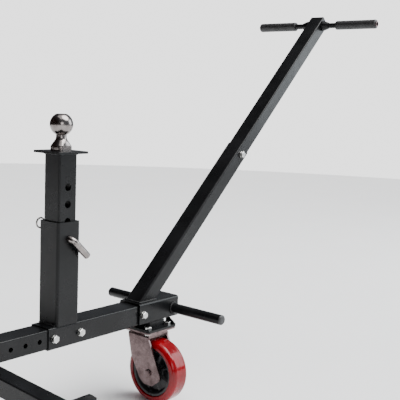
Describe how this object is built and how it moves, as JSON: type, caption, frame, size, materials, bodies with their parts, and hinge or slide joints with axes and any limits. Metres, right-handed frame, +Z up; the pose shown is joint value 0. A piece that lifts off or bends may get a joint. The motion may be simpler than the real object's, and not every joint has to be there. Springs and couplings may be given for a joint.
{
  "type": "trailer dolly with swivel jack wheel",
  "caption": "Hand-pulled trailer dolly: a hitch ball on a telescoping post over a square-tube beam, with a swivel caster, two rear wheels and a long T-handle.",
  "frame": {"origin": "centre of the hitch ball, on the axis of the post", "axes": "+X along the beam from the rear axle towards the swivel caster and handle, -Y towards the hitch pin's bent leg, +Z up"},
  "size_m": [1.3669, 0.758, 1.0389],
  "materials": {
    "frame_black": "semi-gloss black powder coat",
    "bright_zinc": "bright zinc plating",
    "ball_zinc": "satin zinc plating on forged steel",
    "zinc_fasteners": "zinc-plated",
    "bearing_steel": "ground steel",
    "red_tread": "gloss red polyurethane",
    "black_core": "satin black moulding",
    "black_plastic": "satin black moulding",
    "grip_rubber": "matt rubber",
    "rear_tyre": "matt rubber",
    "rim_grey": "grey painted"
  },
  "bodies": {
    "chassis": {"axle_arms": "frame_black", "axle_hanger_plates": "frame_black", "ball_lock_washer": "zinc_fasteners", "ball_nut": "zinc_fasteners", "beam_bolts": "zinc_fasteners", "beam_end_cap": "black_plastic", "beam_nuts": "zinc_fasteners", "beam_washers": "zinc_fasteners", "caster_mounting_plate": "frame_black", "caster_plate_bolts": "zinc_fasteners", "caster_plate_nuts": "zinc_fasteners", "caster_spacer": "frame_black", "caster_top_plate": "bright_zinc", "cross_bar": "frame_black", "cross_bar_caps": "black_plastic", "grip_far": "grip_rubber", "grip_near": "grip_rubber", "handle_bolt": "zinc_fasteners", "handle_bolt_nut": "zinc_fasteners", "handle_bolt_washers": "zinc_fasteners", "handle_end_cap": "black_plastic", "handle_sleeve": "frame_black", "hitch_ball": "ball_zinc", "inner_beam": "frame_black", "inner_beam_plug": "black_plastic", "inner_post": "frame_black", "kingpin": "bright_zinc", "kingpin_nut": "bright_zinc", "lower_handle_tube": "frame_black", "outer_beam": "frame_black", "outer_post": "frame_black", "plate_gussets": "frame_black", "rear_spindle_nuts": "zinc_fasteners", "rear_spindle_washers": "zinc_fasteners", "rear_spindles": "zinc_fasteners", "sleeve_bolt": "zinc_fasteners", "sleeve_bolt_nut": "zinc_fasteners", "sleeve_bolt_washers": "zinc_fasteners", "tbar": "frame_black", "tbar_bosses": "frame_black", "top_plate": "frame_black", "upper_handle_tube": "frame_black", "upper_race": "bright_zinc", "weld_beads": "frame_black"},
    "caster_swivel": {"caster_fork": "bright_zinc", "race_balls": "bearing_steel", "caster_axle_bolt": "bright_zinc", "caster_axle_nut": "bright_zinc", "caster_axle_bush": "bright_zinc"},
    "caster_wheel": {"caster_wheel_core": "black_core", "caster_tread": "red_tread", "caster_wheel_bearings": "bearing_steel"},
    "rear_wheel_near": {"rear_rim_near": "rim_grey", "rear_tyre_near": "rear_tyre", "rear_bearings_near": "bearing_steel"},
    "rear_wheel_far": {"rear_rim_far": "rim_grey", "rear_tyre_far": "rear_tyre", "rear_bearings_far": "bearing_steel"},
    "hitch_pin": {"hitch_pin": "ball_zinc", "pin_clip": "ball_zinc"}
  },
  "joints": [
    {"name": "caster_swivel", "type": "hinge", "parent": "chassis", "child": "caster_swivel", "pos_m": [0.299, 0, -0.527], "axis": [0, 0, 1], "continuous": true},
    {"name": "caster_spin", "type": "hinge", "parent": "caster_swivel", "child": "caster_wheel", "pos_m": [0.299, -0.037, -0.62], "axis": [1, 0, 0], "continuous": true},
    {"name": "rear_spin_near", "type": "hinge", "parent": "chassis", "child": "rear_wheel_near", "pos_m": [-0.1987, -0.335, -0.5985], "axis": [0, 1, 0], "continuous": true},
    {"name": "rear_spin_far", "type": "hinge", "parent": "chassis", "child": "rear_wheel_far", "pos_m": [-0.1987, 0.335, -0.5985], "axis": [0, 1, 0], "continuous": true},
    {"name": "hitch_pin_turn", "type": "hinge", "parent": "chassis", "child": "hitch_pin", "pos_m": [0, 0, -0.2501], "axis": [0, 1, 0], "continuous": true}
  ]
}
